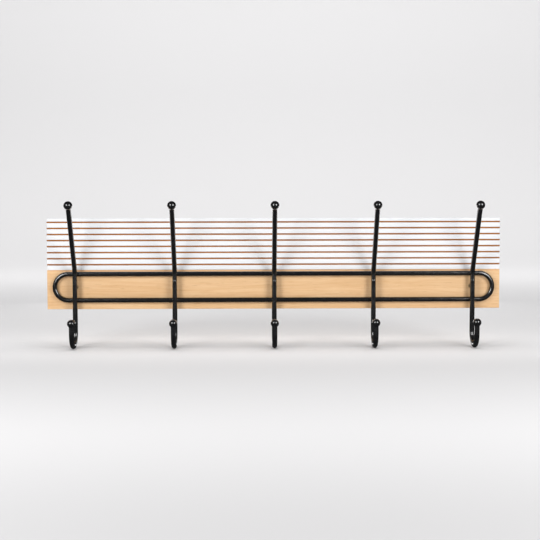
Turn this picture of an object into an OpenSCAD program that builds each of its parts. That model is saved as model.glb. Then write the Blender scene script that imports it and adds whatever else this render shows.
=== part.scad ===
// Wall hook rack: a grooved board with a wire frame on its face that carries five double hooks.
// Millimetres. +X runs along the rack, +Z is up, and the front faces -Y.
// The origin is the middle of the board's back face, which lies against the wall.

/* [Board] */
// Width of the board
board_w = 600; // [500:5:720]
// Height of the board
board_h = 120; // [110:1:160]
// Thickness of the board
board_t = 12; // [11:0.5:18]

/* [Grooves] */
// Number of grooves across the painted part of the face
groove_count = 9; // [1:1:9]
// Distance from one groove to the next
groove_pitch = 8; // [4:0.5:8]
// Distance from the board's top edge to the middle of the first groove
groove_first = 5; // [3:0.5:8]
// Width of each groove
groove_w = 2; // [1:0.25:3]
// Depth of each groove
groove_d = 1.5; // [0.5:0.25:2.5]

/* [Wire frame] */
// Diameter of the wire of the loop
wire_d = 6.4; // [4:0.1:8]
// Height of the loop over its outside
loop_h = 41; // [34:1:50]
// Height of the loop's middle above the board's bottom edge
loop_rise = 29.5; // [28:0.5:40]
// Distance from the board's end to the loop's outside
loop_margin = 7.6; // [4:0.2:12]
// Gap between the loop and the board's face
wire_gap = 0.3; // [0.2:0.1:2]

/* [Hooks] */
// Diameter of the rod of each hook
rod_d = 6.4; // [5:0.1:8]
// Distance from the board's end to the middle of the outer hook
hook_margin = 38; // [36:1:60]
// How far rod and wire press into each other at a weld
weld_set = 0.4; // [0.2:0.1:1]
// Angle by which the upper arm leans forward
arm_lean = 29; // [20:1:40]
// Height of the upper ball's middle above the board's top edge
tip_rise = 17.5; // [10:0.5:40]
// Centre-line radius of the bend below the upper arm
bend_r = 14; // [10:1:20]
// How much thicker the rod is round the bend below the upper arm
bend_swell = 0.04; // [0.04:0.02:0.3]
// Centre-line radius of the lower bend
u_r = 17; // [14:0.5:25]
// Distance from the board's bottom edge down to the middle of the lower bend
u_drop = 29; // [20:1:60]
// Height of the lower ball's middle above the middle of the lower bend
prong_rise = 14.5; // [12:0.5:30]

/* [Balls] */
// Diameter of the upper balls
upper_ball_d = 11.2; // [10.5:0.1:16]
// Diameter of the lower balls
lower_ball_d = 10.8; // [10.5:0.1:16]
// Depth of the socket that takes the rod's end
socket_depth = 3.5; // [2:0.25:4]

/* [Fixings] */
// Diameter of the threaded bosses behind the rods
boss_d = 7; // [6.5:0.25:10]
// How far the boss reaches round the back of the rod
boss_saddle = 1.2; // [0.6:0.1:2]
// Diameter of the fixing screws
screw_d = 4; // [3:0.5:4]
// Length of thread inside a boss
thread_l = 4.8; // [3:0.1:5]
// Diameter of a fixing screw's head
head_d = 8; // [7:0.25:9]
// Height of a fixing screw's head
head_h = 3; // [2:0.25:3.5]
// Outer diameter of the washers
washer_d = 9; // [8.5:0.25:12]
// Thickness of the washers
washer_t = 0.8; // [0.5:0.1:1.2]
// Depth of the screw heads below the board's back
head_sink = 0.6; // [0.2:0.1:1]

/* [Hangers] */
// Distance from the board's end to the middle of a hanger plate
hanger_inset = 100; // [80:1:110]
// Height of the hanger plates' middle above the middle of the board
hanger_z = 24; // [18:1:28]
// Length of a hanger plate
plate_l = 46; // [46:1:60]
// Width of a hanger plate
plate_w = 16; // [14:0.5:20]
// Thickness of a hanger plate
plate_t = 1.5; // [1.5:0.1:2.5]
// Diameter of the round end of the keyhole
key_d = 9; // [8:0.25:10]
// Width of the keyhole's slot
key_slot_w = 4.4; // [3.5:0.1:4.6]
// Travel of a wall screw from the round end to the top of the slot
key_travel = 9; // [7:0.5:12]
// Depth of the space for the wall screw's head behind a plate
key_pocket_d = 4.5; // [3:0.25:5]
// Diameter of the hanger screws
wood_screw_d = 2.8; // [2.5:0.1:3.2]
// Head diameter of the hanger screws
wood_head_d = 5.6; // [5:0.1:6.5]
// Length of the hanger screws
wood_screw_l = 9; // [6:0.5:9]

/* [Hidden] */
hook_count = 5;
hooks = [1 : hook_count];
// Each hook that a boss fixes to the board: the first, the middle one and the last
fixed_hooks = [1, (hook_count + 1) / 2, hook_count];
sides = [-1, 1];
$fn = 48;
// Clearance of a rod in its socket or saddle, and of a thread in its hole
fit = 0.05;
// Clearance round a plate, a washer or a screw that passes through
plate_fit = 0.2;
// How far the straight arm starts inside the bend
bend_lap = 0.05;
// How far a cut runs past the face that it opens
past = 1;
steel = "#1c1c1e";
zinc = "#b9bcc0";
bare_wood = "#e8bf8c";

// The cross recesses, as shares of their screw's head
recess_reach = 0.6;
recess_width = 0.13;
fixing_recess_depth = 0.6;
wood_recess_depth = 0.2;

// Heights
board_top = board_h / 2;
board_bottom = -board_h / 2;
wire_r = wire_d / 2;
rod_r = rod_d / 2;
loop_r = loop_h / 2 - wire_r;
loop_z = board_bottom + loop_rise;
upper_wire_z = loop_z + loop_r;
lower_wire_z = loop_z - loop_r;
u_z = board_bottom - u_drop;

// Depths
wire_y = -(board_t + wire_gap + wire_r);
rod_y = wire_y - wire_r - rod_r + weld_set;
rod_back = rod_y + rod_r;

// Places along the rack
loop_half = board_w / 2 - loop_margin - wire_r - loop_r;
hook_pitch = (board_w - 2 * hook_margin) / (hook_count - 1);
hanger_x = board_w / 2 - hanger_inset;

// The bend and the upper arm, in the rod's own side view
bend_y = rod_y - bend_r * (1 - cos(arm_lean));
bend_z = upper_wire_z + bend_r * sin(arm_lean);
tip_z = board_top + tip_rise;
arm_l = (tip_z - bend_z) / cos(arm_lean);
tip_y = bend_y - arm_l * sin(arm_lean);
prong_y = rod_y - 2 * u_r;

// How far a rod's end stops short of its ball's middle
upper_stop = upper_ball_d / 2 - socket_depth;
lower_stop = lower_ball_d / 2 - socket_depth;

// The counterbore stack at a fixing screw
washer_y = -(head_sink + head_h + washer_t);
screw_tip_y = -(board_t + thread_l);

// The keyhole, with its middle at the plate's middle
key_z = -key_travel / 2;

// Middle of hook i along the rack
function hook_x(i) = (i - (hook_count + 1) / 2) * hook_pitch;

// A round bar along Y, from y1 towards the front to y2
module bar_y(d, y1, y2) {
    translate([0, y1, 0])
        rotate([90, 0, 0])
            cylinder(d = d, h = y1 - y2);
}

// A round bar along X, centred
module bar_x(d, length) {
    rotate([0, 90, 0])
        cylinder(d = d, h = length, center = true);
}

// An upright shape with half-round ends, extruded along Y from the back to y2
module slot_y(w, z1, z2, y1, y2) {
    translate([0, y1, 0])
        rotate([90, 0, 0])
            linear_extrude(y1 - y2) {
                translate([-w / 2, z1])
                    square([w, z2 - z1]);
                for (z = [z1, z2])
                    translate([0, z])
                        circle(d = w);
            }
}

// Places its children at each hook that is fixed to the board
module at_fixings() {
    for (i = fixed_hooks)
        translate([hook_x(i), 0, loop_z])
            children();
}

// Places its children at both hanger plates
module at_hangers() {
    for (side = sides)
        translate([side * hanger_x, 0, hanger_z])
            children();
}

// Places its children at both screws of one hanger plate
module at_plate_screws() {
    for (side = sides)
        translate([0, 0, side * (plate_l - plate_w) / 2])
            children();
}

// The plate's outline, a little larger where it is a pocket
module plate_outline(extra, y1, y2) {
    reach = (plate_l - plate_w) / 2;
    slot_y(plate_w + 2 * extra, -reach, reach, y1, y2);
}

// The cross recess in a screw's head, open to the back
module cross_recess(length, width, y1, y2) {
    for (turn = [0, 90])
        rotate([0, turn, 0])
            translate([-length / 2, y2, -width / 2])
                cube([length, y1 - y2, width]);
}

module grooves() {
    first_z = board_top - groove_first - groove_w / 2;
    for (k = [0 : groove_count - 1])
        translate([-board_w / 2 - past, -board_t - past, first_z - k * groove_pitch])
            cube([board_w + 2 * past, groove_d + past, groove_w]);
}

// The hole right through the board and the counterbore in its back
module fixing_holes() {
    at_fixings() {
        bar_y(screw_d + 2 * plate_fit, past, -board_t - past);
        bar_y(washer_d + 2 * plate_fit, past, washer_y);
    }
}

// The pocket for each plate, the space behind its keyhole and its pilot holes
module hanger_pockets() {
    at_hangers() {
        plate_outline(plate_fit, past, -plate_t);
        slot_y(key_d + 2 * plate_fit, key_z, key_z + key_travel, past, -plate_t - key_pocket_d);
        at_plate_screws()
            bar_y(wood_screw_d + 2 * fit, past, -wood_screw_l - plate_fit);
    }
}

module board() {
    color(bare_wood)
        difference() {
            translate([-board_w / 2, -board_t, board_bottom])
                cube([board_w, board_t, board_h]);
            grooves();
            fixing_holes();
            hanger_pockets();
        }
}

// The loop: two straight wires and two half-round ends
module loop_frame() {
    color(steel)
        translate([0, wire_y, loop_z])
            rotate([90, 0, 0]) {
                for (side = sides) {
                    translate([0, side * loop_r, 0])
                        bar_x(wire_d, 2 * loop_half);
                    translate([side * loop_half, 0, 0])
                        rotate([0, 0, side * -90])
                            rotate_extrude(angle = 180)
                                translate([loop_r, 0])
                                    circle(d = wire_d);
                }
            }
}

// The two places where the loop's wires press into a rod
module weld_seats() {
    for (z = [upper_wire_z, lower_wire_z])
        translate([0, wire_y, z])
            bar_x(wire_d, rod_d + 2 * past);
}

// One arc of rod in the YZ plane about the point at y and z. Angle a1, where it starts,
// is measured from +Y towards +Z.
module rod_arc(r, y, z, a1, sweep, d) {
    translate([0, y, z])
        rotate([90, 0, 90])
            rotate([0, 0, a1])
                rotate_extrude(angle = sweep)
                    translate([r, 0])
                        circle(d = d);
}

// The whole bent rod of one hook, at the middle of the rack
module bent_rod() {
    translate([0, rod_y, u_z])
        cylinder(d = rod_d, h = upper_wire_z - u_z);
    rod_arc(bend_r, rod_y - bend_r, upper_wire_z, 0, arm_lean, rod_d + bend_swell);
    translate([0, bend_y, bend_z])
        rotate([arm_lean, 0, 0])
            translate([0, 0, -bend_lap])
                cylinder(d = rod_d, h = bend_lap + arm_l - upper_stop);
    rod_arc(u_r, rod_y - u_r, u_z, 180, 180, rod_d);
    translate([0, prong_y, u_z])
        cylinder(d = rod_d, h = prong_rise - lower_stop);
}

module hook_rod(i) {
    color(steel)
        translate([hook_x(i), 0, 0])
            difference() {
                bent_rod();
                weld_seats();
            }
}

// A ball with a flat-bottomed socket that opens downwards and takes the rod's end
module socketed_ball(d, stop) {
    color(steel)
        difference() {
            sphere(d = d);
            translate([0, 0, -d])
                cylinder(d = rod_d + 2 * fit, h = d - stop);
        }
}

module upper_ball(i) {
    translate([hook_x(i), tip_y, tip_z])
        rotate([arm_lean, 0, 0])
            socketed_ball(upper_ball_d, upper_stop);
}

module lower_ball(i) {
    translate([hook_x(i), prong_y, u_z + prong_rise])
        socketed_ball(lower_ball_d, lower_stop);
}

// A threaded boss between the board and the back of one rod, shaped to the rod
module boss(i) {
    color(steel)
        translate([hook_x(i), 0, loop_z])
            difference() {
                bar_y(boss_d, -board_t, rod_back - boss_saddle);
                bar_y(screw_d + 2 * fit, -board_t + past, screw_tip_y - fit);
                translate([0, rod_y, 0])
                    cylinder(d = rod_d + 2 * fit, h = 2 * boss_d, center = true);
            }
}

module fixing_screws() {
    recess_l = head_d * recess_reach;
    recess_w = head_d * recess_width;
    recess_d = head_h * fixing_recess_depth;
    color(zinc)
        at_fixings()
            difference() {
                union() {
                    bar_y(head_d, -head_sink, -head_sink - head_h);
                    bar_y(screw_d, -head_sink - head_h, screw_tip_y);
                }
                cross_recess(recess_l, recess_w, past, -head_sink - recess_d);
            }
}

module fixing_washers() {
    color(zinc)
        at_fixings()
            difference() {
                bar_y(washer_d, washer_y + washer_t, washer_y);
                bar_y(screw_d + 2 * plate_fit, past, washer_y - past);
            }
}

// The countersunk head of a hanger screw, flush with the back
module sunk_head(extra) {
    head_r = wood_head_d / 2 + extra;
    core_r = wood_screw_d / 2 + extra;
    rotate([90, 0, 0])
        cylinder(r1 = head_r, r2 = core_r, h = head_r - core_r);
}

module hanger_plate(side) {
    color(zinc)
        translate([side * hanger_x, 0, hanger_z])
            difference() {
                plate_outline(0, 0, -plate_t);
                translate([0, 0, key_z])
                    bar_y(key_d, past, -plate_t - past);
                slot_y(key_slot_w, key_z, key_z + key_travel, past, -plate_t - past);
                at_plate_screws() {
                    sunk_head(fit);
                    bar_y(wood_screw_d + 2 * fit, past, -plate_t - past);
                }
            }
}

module hanger_screws() {
    recess_l = wood_head_d * recess_reach;
    recess_w = wood_head_d * recess_width;
    recess_d = wood_head_d * wood_recess_depth;
    color(zinc)
        at_hangers()
            at_plate_screws()
                difference() {
                    union() {
                        sunk_head(0);
                        bar_y(wood_screw_d, 0, -wood_screw_l);
                    }
                    cross_recess(recess_l, recess_w, past, -recess_d);
                }
}

board();
loop_frame();
for (i = hooks) {
    hook_rod(i);
    upper_ball(i);
    lower_ball(i);
}
boss(fixed_hooks[0]);  // boss_left
boss(fixed_hooks[1]);  // boss_middle
boss(fixed_hooks[2]);  // boss_right
fixing_screws();
fixing_washers();
hanger_plate(-1);  // hanger_left
hanger_plate(1);  // hanger_right
hanger_screws();
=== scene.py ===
"""The looks of the wall hook rack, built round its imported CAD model.

Metres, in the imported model's frame: +X along the rack, +Z up, and the front faces -Y.
"""

import math
import random

import bmesh
import bpy
from mathutils import Matrix, Vector, noise


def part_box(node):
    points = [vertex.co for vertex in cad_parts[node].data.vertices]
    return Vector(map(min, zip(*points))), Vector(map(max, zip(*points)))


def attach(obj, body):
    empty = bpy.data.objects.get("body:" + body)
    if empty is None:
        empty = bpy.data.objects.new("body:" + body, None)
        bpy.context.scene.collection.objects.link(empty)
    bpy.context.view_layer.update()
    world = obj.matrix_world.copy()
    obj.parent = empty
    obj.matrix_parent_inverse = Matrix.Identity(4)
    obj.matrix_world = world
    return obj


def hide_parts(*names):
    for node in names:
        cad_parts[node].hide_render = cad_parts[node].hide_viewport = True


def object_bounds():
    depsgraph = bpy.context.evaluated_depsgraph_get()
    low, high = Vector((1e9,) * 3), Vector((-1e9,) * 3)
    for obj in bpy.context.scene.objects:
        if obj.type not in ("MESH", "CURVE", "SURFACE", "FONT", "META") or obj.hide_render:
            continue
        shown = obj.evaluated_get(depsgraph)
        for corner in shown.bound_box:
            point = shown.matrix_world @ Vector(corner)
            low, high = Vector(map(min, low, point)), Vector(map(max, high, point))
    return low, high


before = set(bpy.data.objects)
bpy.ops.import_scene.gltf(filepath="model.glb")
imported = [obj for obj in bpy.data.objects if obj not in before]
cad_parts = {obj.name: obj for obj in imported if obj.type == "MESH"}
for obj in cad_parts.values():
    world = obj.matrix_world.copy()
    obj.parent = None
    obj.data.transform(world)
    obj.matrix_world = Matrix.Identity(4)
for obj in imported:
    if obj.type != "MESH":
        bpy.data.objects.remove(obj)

CAD_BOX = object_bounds()
MM = 0.001
BODY = "root"

# The grooves. GROOVE_FIRST is from the board's top edge to the middle of the first one
GROOVES = 9
GROOVE_PITCH = 8.0 * MM
GROOVE_FIRST = 5.0 * MM
GROOVE_W = 2.0 * MM
GROOVE_D = 1.5 * MM

# Small roundings: at a groove's lips, at its foot, and along the board's edges
LIP_R = 0.3 * MM
FOOT_R = 0.5 * MM
EDGE_R = 0.8 * MM
ARC_STEPS = 4
SHARP_ANGLE = math.radians(40)

# The board's finishes, as places in its list of materials
PAINTED, GROOVED, BARE, RAW = range(4)

# The keyholes: their width, how far a screw slides in them, and their pockets' depth behind the plates
KEY_D = 9.0 * MM
KEY_TRAVEL = 9.0 * MM
KEY_POCKET_D = 4.5 * MM

# What is cut from the back: the clearance round what is let in, and how far a cutter starts behind it
POCKET_FIT = 0.2 * MM
CUT_PAST = 2.0 * MM
SLOT_STEPS = 24

# The hooks: each is one rod with a ball on both ends
HOOKS = range(1, 6)
ROD_R = 3.2 * MM
UPPER_BALL_R = 5.6 * MM
LOWER_BALL_R = 5.4 * MM
ARM_LEAN = math.radians(29)

# The neck between a ball and its rod: the radius of its hollow, and how uneven it is
NECK_R = 3.0 * MM
NECK_SUNK = 0.1 * MM
NECK_STEPS = 10
NECK_WOBBLE = 0.012
RING_POINTS = 48

# The weld where a rod crosses a wire: two short bars under one skin, with small lumps
CROSSING_GAP = 6.0 * MM
CROSSING_LENGTH = 13.0 * MM
CROSSING_SIDES = 64
SKIN_VOXEL = 0.25 * MM
SKIN_SMOOTHING = 30
LUMP_SIZE = 1.1 * MM
LUMP_H = 0.08 * MM

# The bead of coat on the front of a rod. BEAD_DROP is from under the upper wire to its middle,
# and each bead takes its own share of the height and of how far it stands proud
BEAD_SEED = 381
BEAD_DROP = 6.6 * MM
BEAD_H = 5.0 * MM
BEAD_H_SHARE = (0.85, 1.2)
BEAD_PROUD = 0.35 * MM
BEAD_PROUD_SHARE = (0.1, 1.0)
BEAD_REACH = math.radians(64)
BEAD_STEPS = 16

# The camera: its place, its turn in radians, and its lens and sensor in millimetres
CAMERA_PLACE = Vector((-0.0316, -1.4972, 0.0916))
YAW = math.radians(1.01)
PITCH = math.radians(-3.86)
ROLL = math.radians(-0.09)
CAMERA_LENS = 74.9
CAMERA_SENSOR = 36.0

# Light: the room's strength, the two softboxes in degrees and metres, and each lamp's watts
AMBIENT = 0.05
SOFTBOX_AWAY = 1.4
SOFTBOX_AZIMUTH = 37
SOFTBOX_ELEVATION = 17
SOFTBOX_W, SOFTBOX_H = 0.48, 0.62
SOFTBOX_POWER = 9.3
FLOOR_LAMP_POWER = 100.0
WALL_LAMP_POWER = 49.0
BACK_CARD_POWER = 0.9

# The stage: a floor that bends up into a wall, and the tint of its paper
FLOOR_FROM = -3.5
BEND_FROM = 1.6
BEND_R = 1.4
BEND_STEPS = 32
WALL_TOP = 4.5
STAGE_HALF_W = 6.0
STAGE_TINT = (1.0, 0.992, 1.0)
# The stage's tone at a few distances along it, from near the camera to high on the wall. These tones
# are painted light and shade: darker near the camera and up the wall, lightest just behind the rack.
STAGE_TONES_WITH_PAINTED_LIGHT = (
    (-0.85, 0.545),
    (-0.52, 0.68),
    (-0.22, 0.65),
    (-0.05, 0.76),
    (0.10, 0.81),
    (0.45, 0.80),
    (1.00, 0.76),
    (1.90, 0.62),
    (3.20, 0.615),
    (4.00, 0.66),
)

# Colours, as linear red, green and blue
COAT_BLACK = (0.0033, 0.0035, 0.0046)
COAT_DUST = (0.012, 0.012, 0.013)
ZINC_DULL = (0.50, 0.51, 0.53)
ZINC_BRIGHT = (0.66, 0.66, 0.66)
PAINT_SHADED = (0.85, 0.862, 0.887)
PAINT_CLEAR = (0.873, 0.882, 0.903)
PAINT_ON_GRAIN = (0.76, 0.755, 0.74)
PAINT_STAINED = (0.62, 0.47, 0.33)
PAINT_CHIPPED = (0.45, 0.27, 0.13)
GROOVE_DARK = (0.24, 0.076, 0.009)
GROOVE_LIGHT = (0.52, 0.197, 0.024)
GROOVE_BROAD = (0.44, 0.19, 0.053)
VENEER_DARK = (0.76, 0.46, 0.22)
VENEER_LIGHT = (0.87, 0.575, 0.315)
VENEER_RINGS = (0.70, 0.39, 0.17)
VENEER_FIBRES = (0.90, 0.63, 0.37)
VENEER_PORES = (0.50, 0.25, 0.10)
RAW_DARK = (0.60, 0.38, 0.20)
RAW_LIGHT = (0.71, 0.48, 0.28)
RAW_RINGS = (0.52, 0.31, 0.155)
RAW_FIBRES = (0.77, 0.56, 0.36)
RAW_PORES = (0.36, 0.19, 0.085)


def middle(node):
    """The middle of a CAD node's box."""
    low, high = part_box(node)
    return (low + high) / 2


# ---------------------------------------------------------------- materials


class Nodes:
    """A material's node tree, with short ways to add and link its nodes."""

    def __init__(self, name):
        self.material = bpy.data.materials.new(name)
        self.material.use_nodes = True
        self.tree = self.material.node_tree
        self.shader = self.tree.nodes["Principled BSDF"]
        self.where = self.add("ShaderNodeTexCoord").outputs["Object"]

    def add(self, kind, **settings):
        """A new node of that kind, with those settings."""
        node = self.tree.nodes.new(kind)
        for key, value in settings.items():
            setattr(node, key, value)
        return node

    def put(self, socket, value):
        """Links an output to the socket, or sets the socket to a value."""
        if isinstance(value, bpy.types.NodeSocket):
            self.tree.links.new(value, socket)
        else:
            socket.default_value = value

    def set(self, name, value):
        """Links or sets one of the shader's own sockets."""
        self.put(self.shader.inputs[name], value)

    def math(self, operation, a, b, clamp=False):
        """One operation on two numbers, each an output or a value."""
        node = self.add("ShaderNodeMath", operation=operation, use_clamp=clamp)
        self.put(node.inputs[0], a)
        self.put(node.inputs[1], b)
        return node.outputs[0]

    def scaled(self, scale):
        """Object coordinates multiplied by a vector."""
        node = self.add("ShaderNodeVectorMath", operation="MULTIPLY")
        self.put(node.inputs[0], self.where)
        node.inputs[1].default_value = scale
        return node.outputs[0]

    def noise(self, scale, stretch=(1, 1, 1), detail=3.0, rough=0.5, warp=0.0):
        """Noise between 0 and 1. A larger stretch on an axis makes it finer along that axis."""
        node = self.add("ShaderNodeTexNoise")
        self.put(node.inputs["Vector"], self.scaled(stretch))
        node.inputs["Scale"].default_value = scale
        node.inputs["Detail"].default_value = detail
        node.inputs["Roughness"].default_value = rough
        node.inputs["Distortion"].default_value = warp
        return node.outputs["Fac"]

    def ramp(self, value, low, high, to_low=0.0, to_high=1.0):
        """Takes low..high to to_low..to_high, and holds the value beyond them."""
        node = self.add("ShaderNodeMapRange")
        self.put(node.inputs["Value"], value)
        node.inputs["From Min"].default_value = low
        node.inputs["From Max"].default_value = high
        node.inputs["To Min"].default_value = to_low
        node.inputs["To Max"].default_value = to_high
        return node.outputs["Result"]

    def mix(self, factor, a, b):
        """Mixes two colours, each an output or a tuple."""
        node = self.add("ShaderNodeMix", data_type="RGBA")
        self.put(node.inputs["Factor"], factor)
        for socket, value in ((node.inputs[6], a), (node.inputs[7], b)):
            self.put(socket, value if isinstance(value, bpy.types.NodeSocket) else (*value, 1.0))
        return node.outputs[2]

    def bump(self, height, distance, strength, below=None):
        """A bump, on top of the one below it if that is given."""
        node = self.add("ShaderNodeBump")
        self.put(node.inputs["Height"], height)
        node.inputs["Distance"].default_value = distance
        node.inputs["Strength"].default_value = strength
        if below is not None:
            self.put(node.inputs["Normal"], below)
        return node.outputs["Normal"]

    def axis(self, name):
        """One of the object coordinates: X, Y or Z."""
        node = self.add("ShaderNodeSeparateXYZ")
        self.put(node.inputs[0], self.where)
        return node.outputs[name]


def black_powder_coat():
    """A semi-gloss black coat with a slight orange peel and a few dusty specks."""
    n = Nodes("black_powder_coat")
    fine = n.noise(1400, detail=2.0)
    broad = n.noise(90, detail=3.0)
    dust = n.noise(420, detail=5.0, rough=0.7)
    specks = n.ramp(dust, 0.70, 0.80, 0.0, 0.35)
    n.set("Base Color", n.mix(specks, COAT_BLACK, COAT_DUST))
    broad_rough = n.ramp(broad, 0.3, 0.7, 0.20, 0.27)
    fine_rough = n.ramp(fine, 0.3, 0.7, -0.01, 0.02)
    n.set("Roughness", n.math("ADD", broad_rough, fine_rough))
    n.set("Specular IOR Level", 1.0)
    n.set("Coat Weight", 0.8)
    n.set("Coat Roughness", 0.09)
    peel = n.bump(fine, 0.03 * MM, 0.5)
    n.set("Normal", n.bump(broad, 0.25 * MM, 0.35, peel))
    return n.material


def zinc_plate():
    """Dull zinc plating with a fine crystal grain."""
    n = Nodes("zinc_plate")
    crystals = n.add("ShaderNodeTexVoronoi", feature="F1")
    n.put(crystals.inputs["Vector"], n.where)
    crystals.inputs["Scale"].default_value = 900
    grain = n.noise(260, detail=4.0)
    n.set("Base Color", n.mix(n.ramp(grain, 0.3, 0.7), ZINC_DULL, ZINC_BRIGHT))
    n.set("Metallic", 0.7)
    n.set("Roughness", n.ramp(grain, 0.25, 0.75, 0.36, 0.52))
    n.set("Normal", n.bump(crystals.outputs["Distance"], 0.03 * MM, 0.3))
    return n.material


def groove_distance(n, top):
    """How far a point's height is from the middle of the nearest groove, on a board with that top."""
    depth = n.math("SUBTRACT", top - GROOVE_FIRST + GROOVE_PITCH * GROOVES, n.axis("Z"))
    return n.math("PINGPONG", depth, GROOVE_PITCH / 2)


def white_paint(top):
    """White paint over a faint grain, stained and chipped in spots along the grooves."""
    n = Nodes("white_paint")
    roller = n.noise(520, detail=3.0, rough=0.6)
    cloud = n.noise(9, stretch=(1, 1, 3), detail=4.0)
    grain = n.noise(60, stretch=(0.06, 1, 9), detail=6.0, rough=0.62, warp=0.4)
    tone = n.mix(n.ramp(cloud, 0.3, 0.7), PAINT_SHADED, PAINT_CLEAR)
    tone = n.mix(n.ramp(grain, 0.35, 0.65, 0.0, 0.16), tone, PAINT_ON_GRAIN)
    chips = n.math("GREATER_THAN", n.noise(700, stretch=(0.5, 1, 1), detail=4.0, rough=0.7), 0.66)
    lip = GROOVE_W / 2
    near = n.ramp(groove_distance(n, top), lip, lip + 0.5 * MM, 1.0, 0.0)
    worn = n.math("MULTIPLY", chips, near, clamp=True)
    stain = n.math("MULTIPLY", n.ramp(grain, 0.45, 0.7, 0.0, 0.35), near, clamp=True)
    tone = n.mix(stain, tone, PAINT_STAINED)
    n.set("Base Color", n.mix(worn, tone, PAINT_CHIPPED))
    n.set("Roughness", n.ramp(roller, 0.3, 0.7, 0.42, 0.56))
    n.set("Specular IOR Level", 0.45)
    texture = n.bump(grain, 0.12 * MM, 0.5)
    n.set("Normal", n.bump(roller, 0.06 * MM, 0.5, texture))
    return n.material


def groove_wood():
    """The brown, fibrous wood in the grooves."""
    n = Nodes("groove_wood")
    fibres = n.noise(900, stretch=(0.15, 1, 1), detail=5.0, rough=0.7)
    broad = n.noise(14, stretch=(1, 1, 2), detail=3.0)
    tone = n.mix(n.ramp(fibres, 0.25, 0.75), GROOVE_DARK, GROOVE_LIGHT)
    n.set("Base Color", n.mix(n.ramp(broad, 0.35, 0.65, 0.0, 0.6), tone, GROOVE_BROAD))
    n.set("Roughness", n.ramp(fibres, 0.2, 0.8, 0.72, 0.9))
    n.set("Normal", n.bump(fibres, 0.15 * MM, 0.8))
    return n.material


def wood_grain(n, along=0.045):
    """Broad figure, its rings, fine fibres and short pores of a light wood that runs along X."""
    figure = n.noise(26, stretch=(along * 2.2, 1, 1.5), detail=3.0, rough=0.45, warp=1.1)
    rings = n.math("PINGPONG", n.math("MULTIPLY", figure, 9.0), 0.5)
    fibres = n.noise(330, stretch=(along, 1, 1.7), detail=5.0, rough=0.65)
    pores = n.noise(820, stretch=(along * 1.7, 1, 1.4), detail=2.0, rough=0.5)
    return figure, rings, fibres, n.ramp(pores, 0.63, 0.74)


def veneer():
    """The lacquered light wood of the board's lower part."""
    n = Nodes("veneer")
    figure, rings, fibres, pores = wood_grain(n)
    tone = n.mix(n.ramp(figure, 0.3, 0.7), VENEER_DARK, VENEER_LIGHT)
    tone = n.mix(n.ramp(rings, 0.0, 0.5, 0.0, 0.45), tone, VENEER_RINGS)
    tone = n.mix(n.ramp(fibres, 0.35, 0.7, 0.0, 0.55), tone, VENEER_FIBRES)
    n.set("Base Color", n.mix(n.math("MULTIPLY", pores, 0.55), tone, VENEER_PORES))
    n.set("Roughness", n.ramp(fibres, 0.3, 0.7, 0.40, 0.52))
    n.set("Specular IOR Level", 0.4)
    relief = n.bump(fibres, 0.06 * MM, 0.5)
    n.set("Normal", n.bump(pores, -0.05 * MM, 0.5, relief))
    return n.material


def raw_wood():
    """The unfinished wood of the board's back, ends and cuts."""
    n = Nodes("raw_wood")
    figure, rings, fibres, pores = wood_grain(n, along=0.06)
    tone = n.mix(n.ramp(figure, 0.3, 0.7), RAW_DARK, RAW_LIGHT)
    tone = n.mix(n.ramp(rings, 0.0, 0.5, 0.0, 0.4), tone, RAW_RINGS)
    tone = n.mix(n.ramp(fibres, 0.35, 0.7, 0.0, 0.45), tone, RAW_FIBRES)
    n.set("Base Color", n.mix(n.math("MULTIPLY", pores, 0.5), tone, RAW_PORES))
    n.set("Roughness", n.ramp(fibres, 0.3, 0.7, 0.62, 0.78))
    relief = n.bump(fibres, 0.1 * MM, 0.7)
    n.set("Normal", n.bump(pores, -0.08 * MM, 0.6, relief))
    return n.material


# ---------------------------------------------------------------- mesh helpers


def new_piece(name, bm, materials):
    """A smooth-shaded object made from bm, with those materials."""
    mesh = bpy.data.meshes.new(name)
    bm.to_mesh(mesh)
    bm.free()
    for material in materials:
        mesh.materials.append(material)
    mesh.shade_smooth()
    piece = bpy.data.objects.new(name, mesh)
    bpy.context.scene.collection.objects.link(piece)
    return piece


def arc(u, v, r, start, end):
    """Points of an arc about (u, v), between two angles in degrees."""
    for k in range(ARC_STEPS + 1):
        a = math.radians(start + (end - start) * k / ARC_STEPS)
        yield u + r * math.cos(a), v + r * math.sin(a)


def skin(bm, rings):
    """Joins equal closed rings of points into one closed skin."""
    loops = [[bm.verts.new(p) for p in ring] for ring in rings]
    count = len(loops[0])
    for a, b in zip(loops, loops[1:]):
        for i in range(count):
            j = (i + 1) % count
            bm.faces.new((a[i], a[j], b[j], b[i]))
    bm.faces.new(loops[0][::-1])
    bm.faces.new(loops[-1])


def clean(bm, gap=1e-7):
    """Welds points that meet and turns every face outwards."""
    bmesh.ops.remove_doubles(bm, verts=bm.verts, dist=gap)
    bmesh.ops.dissolve_degenerate(bm, edges=bm.edges, dist=gap)
    bmesh.ops.recalc_face_normals(bm, faces=bm.faces)


def clamp(value, low, high):
    return min(max(value, low), high)


# ---------------------------------------------------------------- the board


def groove_middles(top):
    """The heights of the grooves' middles, from the top one down."""
    return [top - GROOVE_FIRST - k * GROOVE_PITCH for k in range(GROOVES)]


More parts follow.
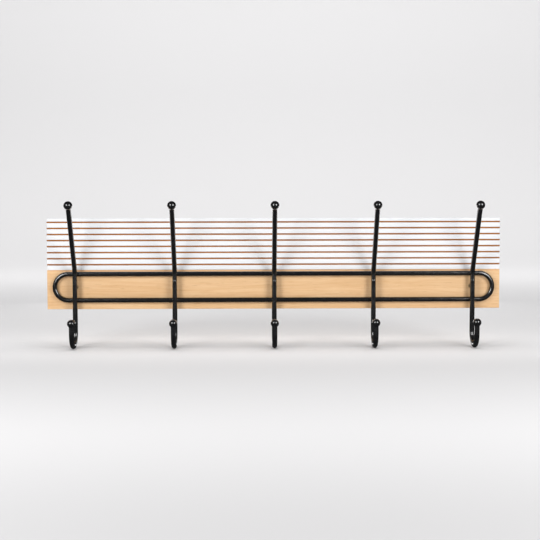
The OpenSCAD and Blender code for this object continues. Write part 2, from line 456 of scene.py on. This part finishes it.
def board_outline(low, high):
    """The board's section with its grooves, as points (y, z)."""
    front, back, bottom, top = low.y, high.y, low.z, high.z
    floor = front + GROOVE_D
    points = list(arc(back - EDGE_R, top - EDGE_R, EDGE_R, 0, 90))
    points += arc(front + EDGE_R, top - EDGE_R, EDGE_R, 90, 180)
    for z in groove_middles(top):
        upper, lower = z + GROOVE_W / 2, z - GROOVE_W / 2
        points += arc(front + LIP_R, upper + LIP_R, LIP_R, 180, 270)
        points += arc(floor - FOOT_R, upper - FOOT_R, FOOT_R, 90, 0)
        points += arc(floor - FOOT_R, lower + FOOT_R, FOOT_R, 0, -90)
        points += arc(front + LIP_R, lower - LIP_R, LIP_R, 90, 180)
    points += arc(front + EDGE_R, bottom + EDGE_R, EDGE_R, 180, 270)
    points += arc(back - EDGE_R, bottom + EDGE_R, EDGE_R, 270, 360)
    return points


def board_rings(low, high):
    """The outline along X, drawn in towards both ends so that the ends' edges are round."""
    outline = board_outline(low, high)
    rounding = [(EDGE_R - x, EDGE_R - inset) for x, inset in arc(0, 0, EDGE_R, 0, 90)]
    places = [(low.x + x, inset) for x, inset in rounding]
    places += [(high.x - x, inset) for x, inset in reversed(rounding)]
    for x, inset in places:
        yield [
            (x, clamp(y, low.y + inset, high.y - inset), clamp(z, low.z + inset, high.z - inset))
            for y, z in outline
        ]


def slot_outline(x, z1, z2, r):
    """An upright outline with half-round ends, as points (x, z)."""
    for centre, start in ((z2, 0.0), (z1, math.pi)):
        for k in range(SLOT_STEPS + 1):
            a = start + math.pi * k / SLOT_STEPS
            yield x + r * math.cos(a), centre + r * math.sin(a)


def add_cutter(bm, outline, depth):
    """A prism that cuts from behind the board's back to that depth."""
    outline = list(outline)
    skin(bm, [[(x, y, z) for x, z in outline] for y in (CUT_PAST, -depth)])


def back_cutters():
    """What is cut out of the back: hanger pockets, keyhole pockets and counterbores."""
    cutters = []
    for node in ("hanger_left", "hanger_right"):
        low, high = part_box(node)
        mid = (low + high) / 2
        r = (high.x - low.x) / 2 + POCKET_FIT
        reach = (high.z - low.z) / 2 + POCKET_FIT - r
        plate_t = high.y - low.y
        cutters.append((slot_outline(mid.x, mid.z - reach, mid.z + reach, r), plate_t))
        key = (mid.z - KEY_TRAVEL / 2, mid.z + KEY_TRAVEL / 2)
        cutters.append((slot_outline(mid.x, *key, KEY_D / 2 + POCKET_FIT), plate_t + KEY_POCKET_D))
    low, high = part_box("fixing_washers")
    r = (high.z - low.z) / 2 + POCKET_FIT
    for node in ("boss_left", "boss_middle", "boss_right"):
        mid = middle(node)
        cutters.append((slot_outline(mid.x, mid.z, mid.z, r), -low.y))
    return cutters


def cut(piece, cutters):
    """Cuts each prism out of the piece, one after another."""
    for outline, depth in cutters:
        bm = bmesh.new()
        add_cutter(bm, outline, depth)
        clean(bm)
        tool = new_piece("cutter", bm, [])
        modifier = piece.modifiers.new("cut", "BOOLEAN")
        modifier.operation = "DIFFERENCE"
        modifier.solver = "EXACT"
        modifier.object = tool
        graph = bpy.context.evaluated_depsgraph_get()
        mesh = bpy.data.meshes.new_from_object(piece.evaluated_get(graph))
        piece.modifiers.clear()
        piece.data = mesh
        bpy.data.objects.remove(tool)


def board_finish(centre, low, high):
    """Which finish a face of the board takes, by its middle: painted, grooved, bare or raw."""
    rim = EDGE_R / 2
    at_an_end = abs(centre.x) > high.x - rim / 4
    on_the_back = centre.y > high.y - rim / 2
    off_the_rim = abs(centre.x) < high.x - rim and low.z + rim < centre.z < high.z - rim
    in_a_pocket = off_the_rim and centre.y > low.y + 2 * GROOVE_D
    if at_an_end or on_the_back or in_a_pocket:
        return RAW
    *grooves, border = groove_middles(high.z)
    for z in grooves:
        if abs(centre.z - z) < GROOVE_W / 2 and centre.y > low.y + LIP_R * 0.8:
            return GROOVED
    return PAINTED if centre.z > border + GROOVE_W / 2 else BARE


def build_board():
    """The board, with rounded edges, its cuts and its four finishes."""
    low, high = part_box("board")
    finishes = [white_paint(high.z), groove_wood(), veneer(), raw_wood()]
    bm = bmesh.new()
    skin(bm, list(board_rings(low, high)))
    clean(bm)
    board = new_piece("grooved_board", bm, finishes)
    cut(board, back_cutters())
    board.data.name = "grooved_board"
    for face in board.data.polygons:
        face.material_index = board_finish(face.center, low, high)
        face.use_smooth = True
    board.data.set_sharp_from_angle(angle=SHARP_ANGLE)
    weighted = board.modifiers.new("flat faces stay flat", "WEIGHTED_NORMAL")
    weighted.keep_sharp = True
    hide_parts("board")
    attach(board, BODY)


# ---------------------------------------------------------------- steel


def add_steel(piece):
    """Attaches a piece of the black steelwork to the rack's body."""
    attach(piece, BODY)


def ring(middle_point, axis, r, wobble, phase):
    """A slightly uneven ring of points round an axis, in the plane square to it."""
    side = axis.orthogonal().normalized()
    other = axis.cross(side)
    for k in range(RING_POINTS):
        a = 2 * math.pi * k / RING_POINTS
        lump = 1 + wobble * math.sin(2 * a + phase) + wobble * math.sin(3 * a - phase) / 2
        yield middle_point + (side * math.cos(a) + other * math.sin(a)) * r * lump


def build_neck(name, ball_middle, towards_rod, ball_r, coat, phase):
    """The weld that fills the corner between a ball and its rod, as a hollow round.

    Its profile, as (distance from the ball's middle, radius), starts in the rod and ends in the ball.
    """
    reach = math.sqrt((ball_r + NECK_R) ** 2 - (ROD_R + NECK_R) ** 2)
    start = math.atan2(reach, ROD_R + NECK_R)
    profile = [(reach + NECK_R * 0.4, ROD_R - NECK_SUNK), (reach + NECK_R * 0.1, ROD_R)]
    for k in range(NECK_STEPS + 1):
        a = start * k / NECK_STEPS
        profile.append((reach - NECK_R * math.sin(a), ROD_R + NECK_R * (1 - math.cos(a))))
    profile.append((reach - NECK_R, ROD_R * 0.6))
    bm = bmesh.new()
    rings = []
    for k, (along, r) in enumerate(profile):
        wobble = NECK_WOBBLE if 2 < k < len(profile) - 2 else 0.0
        rings.append(list(ring(ball_middle + towards_rod * along, towards_rod, r, wobble, phase)))
    skin(bm, rings)
    clean(bm)
    add_steel(new_piece(name, bm, [coat]))


def crossing_mesh(coat):
    """Two short bars that cross as a rod and a wire do, run together by smoothing."""
    bm = bmesh.new()
    half_turn = Matrix.Rotation(math.pi / 2, 4, "Y")
    for turn, y in ((Matrix.Identity(4), -CROSSING_GAP / 2), (half_turn, CROSSING_GAP / 2)):
        bmesh.ops.create_cone(
            bm,
            cap_ends=True,
            segments=CROSSING_SIDES,
            radius1=ROD_R,
            radius2=ROD_R,
            depth=CROSSING_LENGTH,
            matrix=Matrix.Translation((0, y, 0)) @ turn,
        )
    block = new_piece("crossing", bm, [coat])
    remesh = block.modifiers.new("one skin", "REMESH")
    remesh.mode = "VOXEL"
    remesh.voxel_size = SKIN_VOXEL
    smooth = block.modifiers.new("run together", "SMOOTH")
    smooth.factor = 0.5
    smooth.iterations = SKIN_SMOOTHING
    graph = bpy.context.evaluated_depsgraph_get()
    mesh = bpy.data.meshes.new_from_object(block.evaluated_get(graph))
    bpy.data.objects.remove(block)
    for point in mesh.vertices:
        near = clamp(1 - (abs(point.co.x) + abs(point.co.z)) / CROSSING_LENGTH, 0, 1)
        point.co += point.normal * noise.noise(point.co / LUMP_SIZE) * LUMP_H * near
    mesh.materials.clear()
    mesh.materials.append(coat)
    mesh.shade_smooth()
    return mesh


def build_crossings(coat):
    """A weld at each place where a rod crosses the loop."""
    mesh = crossing_mesh(coat)
    low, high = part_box("loop_frame")
    rod_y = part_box("hook_rod_3")[1].y - ROD_R
    wire_y = (low.y + high.y) / 2
    for i in HOOKS:
        x = middle(f"hook_rod_{i}").x
        for side, z in (("upper", high.z - ROD_R), ("lower", low.z + ROD_R)):
            weld = bpy.data.objects.new(f"{side}_weld_{i}", mesh)
            weld.location = (x, (rod_y + wire_y) / 2, z)
            # Every other hook's is turned half round, so that neighbours differ
            weld.rotation_euler = (0, math.pi * (i % 2), 0)
            bpy.context.scene.collection.objects.link(weld)
            add_steel(weld)


def build_bead(i, coat):
    """A small swelling of the coat on the front of a rod, just below the upper wire."""
    rng = random.Random(BEAD_SEED + i)
    rod_low, rod_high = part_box(f"hook_rod_{i}")
    x, y = (rod_low.x + rod_high.x) / 2, rod_high.y - ROD_R
    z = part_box("loop_frame")[1].z - 2 * ROD_R - BEAD_DROP
    proud = BEAD_PROUD * rng.uniform(*BEAD_PROUD_SHARE)
    half_h = BEAD_H / 2 * rng.uniform(*BEAD_H_SHARE)
    rings = []
    for k in range(1, BEAD_STEPS):
        up = 2 * k / BEAD_STEPS - 1
        hill = (1 - up * up) ** 1.5
        outer = []
        for j in range(BEAD_STEPS + 1):
            across = 2 * j / BEAD_STEPS - 1
            r = ROD_R + proud * hill * (1 - across * across) ** 1.5
            outer.append((r, across * BEAD_REACH))
        inner = [(ROD_R * 0.9, a) for r, a in reversed(outer)]
        rings.append(
            [(x + r * math.sin(a), y - r * math.cos(a), z + up * half_h) for r, a in outer + inner]
        )
    bm = bmesh.new()
    skin(bm, rings)
    clean(bm)
    add_steel(new_piece(f"coat_bead_{i}", bm, [coat]))


def build_welds(coat):
    """What welding and coating leave on the steel: crossings, necks and beads."""
    build_crossings(coat)
    down_the_arm = Vector((0, math.sin(ARM_LEAN), -math.cos(ARM_LEAN)))
    down = Vector((0, 0, -1))
    for i in HOOKS:
        upper, lower = middle(f"upper_ball_{i}"), middle(f"lower_ball_{i}")
        build_neck(f"upper_neck_{i}", upper, down_the_arm, UPPER_BALL_R, coat, i)
        build_neck(f"lower_neck_{i}", lower, down, LOWER_BALL_R, coat, -i)
        build_bead(i, coat)


def coat_cad_nodes(coat, zinc):
    """Gives every CAD node but the board its finish."""
    for name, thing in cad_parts.items():
        if name == "board":
            continue
        finish = zinc if name.startswith(("fixing", "hanger")) else coat
        for place in thing.material_slots:
            place.material = finish


# ---------------------------------------------------------------- stage


def stage_paper_with_painted_light(floor_z):
    """Pale paper with painted light and shade: its tone follows the way along the floor and on up the
    wall.
    """
    n = Nodes("stage_paper_with_painted_light")
    way = n.math("ADD", n.axis("Y"), n.math("SUBTRACT", n.axis("Z"), floor_z))
    first, last = STAGE_TONES_WITH_PAINTED_LIGHT[0][0], STAGE_TONES_WITH_PAINTED_LIGHT[-1][0]
    # The ramp paints light and shade along the sweep, as the tones list gives it
    ramp = n.add("ShaderNodeValToRGB")
    ramp.color_ramp.interpolation = "EASE"
    n.put(ramp.inputs["Fac"], n.ramp(way, first, last))
    stops = ramp.color_ramp.elements
    while len(stops) < len(STAGE_TONES_WITH_PAINTED_LIGHT):
        stops.new(0.5)
    for stop, (place, tone) in zip(stops, STAGE_TONES_WITH_PAINTED_LIGHT):
        stop.position = (place - first) / (last - first)
        stop.color = (*(tone * c for c in STAGE_TINT), 1.0)
    n.set("Base Color", ramp.outputs["Color"])
    n.set("Roughness", 0.9)
    n.set("Specular IOR Level", 0.1)
    return n.material


def build_stage():
    """A pale floor that sweeps up into a backdrop well behind the rack."""
    floor_z = CAD_BOX[0].z
    profile = [(FLOOR_FROM, floor_z), (BEND_FROM, floor_z)]
    for k in range(1, BEND_STEPS + 1):
        a = math.pi / 2 * k / BEND_STEPS
        profile.append((BEND_FROM + BEND_R * math.sin(a), floor_z + BEND_R * (1 - math.cos(a))))
    profile.append((BEND_FROM + BEND_R, WALL_TOP))
    bm = bmesh.new()
    edges_x = (-STAGE_HALF_W, STAGE_HALF_W)
    sides = [[bm.verts.new((x, y, z)) for y, z in profile] for x in edges_x]
    for i in range(len(profile) - 1):
        bm.faces.new((sides[0][i], sides[1][i], sides[1][i + 1], sides[0][i + 1]))
    sweep = new_piece("sweep", bm, [stage_paper_with_painted_light(floor_z)])
    sweep.visible_glossy = False


def add_lamp(name, azimuth, elevation, distance, width, height, power, aim=Vector((0, 0, 0))):
    """A flat lamp that faces its aim. Azimuth 0 is in front of the rack and grows towards +X."""
    a, e = math.radians(azimuth), math.radians(elevation)
    away = Vector((math.sin(a) * math.cos(e), -math.cos(a) * math.cos(e), math.sin(e)))
    data = bpy.data.lights.new(name, "AREA")
    data.shape = "RECTANGLE"
    data.size, data.size_y = width, height
    data.energy = power
    lamp = bpy.data.objects.new(name, data)
    lamp.location = aim + away * distance
    lamp.rotation_mode = "QUATERNION"
    lamp.rotation_quaternion = away.to_track_quat("Z", "Y")
    bpy.context.scene.collection.objects.link(lamp)
    return lamp


def light_front():
    """A softbox on each side, in front of the rack and above it."""
    for name, azimuth in (("softbox_left", -SOFTBOX_AZIMUTH), ("softbox_right", SOFTBOX_AZIMUTH)):
        add_lamp(
            name,
            azimuth=azimuth,
            elevation=SOFTBOX_ELEVATION,
            distance=SOFTBOX_AWAY,
            width=SOFTBOX_W,
            height=SOFTBOX_H,
            power=SOFTBOX_POWER,
        )


def light_stage():
    """A broad lamp straight above and one before the wall. Neither shows in reflections."""
    floor_lamp = add_lamp(
        "floor_lamp",
        azimuth=0,
        elevation=90,
        distance=3.2,
        width=5.0,
        height=3.0,
        power=FLOOR_LAMP_POWER,
        aim=Vector((0, 0.15, 0)),
    )
    wall_lamp = add_lamp(
        "wall_lamp",
        azimuth=0,
        elevation=22,
        distance=2.0,
        width=6.0,
        height=0.8,
        power=WALL_LAMP_POWER,
        aim=Vector((0.4, 3.0, 0.5)),
    )
    for lamp in (floor_lamp, wall_lamp):
        lamp.visible_glossy = False


def light_back():
    """A dim lamp behind the rack that shows only in reflections, for the zinc to mirror."""
    back_card = add_lamp(
        "back_card",
        azimuth=180,
        elevation=0,
        distance=0.6,
        width=0.9,
        height=0.14,
        power=BACK_CARD_POWER,
        aim=Vector((0, 0, -0.03)),
    )
    back_card.visible_diffuse = False
    back_card.visible_camera = False


def light_room():
    """A dim, even light from all round."""
    world = bpy.data.worlds.new("room")
    world.use_nodes = True
    sky = world.node_tree.nodes["Background"]
    sky.inputs["Color"].default_value = (1.0, 1.0, 1.0, 1.0)
    sky.inputs["Strength"].default_value = AMBIENT
    bpy.context.scene.world = world


def add_camera():
    """The camera, a little left of the rack's middle and a little above it."""
    data = bpy.data.cameras.new("camera")
    data.lens = CAMERA_LENS
    data.sensor_width = CAMERA_SENSOR
    data.clip_start, data.clip_end = 0.01, 50.0
    camera = bpy.data.objects.new("camera", data)
    level = math.cos(PITCH)
    ahead = Vector((math.sin(YAW) * level, math.cos(YAW) * level, math.sin(PITCH)))
    right = Vector((math.cos(YAW), -math.sin(YAW), 0.0))
    up = right.cross(ahead)
    tilted = right * math.cos(ROLL) + up * math.sin(ROLL)
    upright = up * math.cos(ROLL) - right * math.sin(ROLL)
    turn = Matrix((tilted, upright, -ahead)).transposed()
    camera.matrix_world = Matrix.Translation(CAMERA_PLACE) @ turn.to_4x4()
    bpy.context.scene.collection.objects.link(camera)
    bpy.context.scene.camera = camera


# ---------------------------------------------------------------- the scene

bpy.context.scene.view_settings.view_transform = "Standard"
add_camera()
build_stage()
light_room()
light_front()
light_stage()
light_back()
build_board()
coat = black_powder_coat()
coat_cad_nodes(coat, zinc_plate())
build_welds(coat)
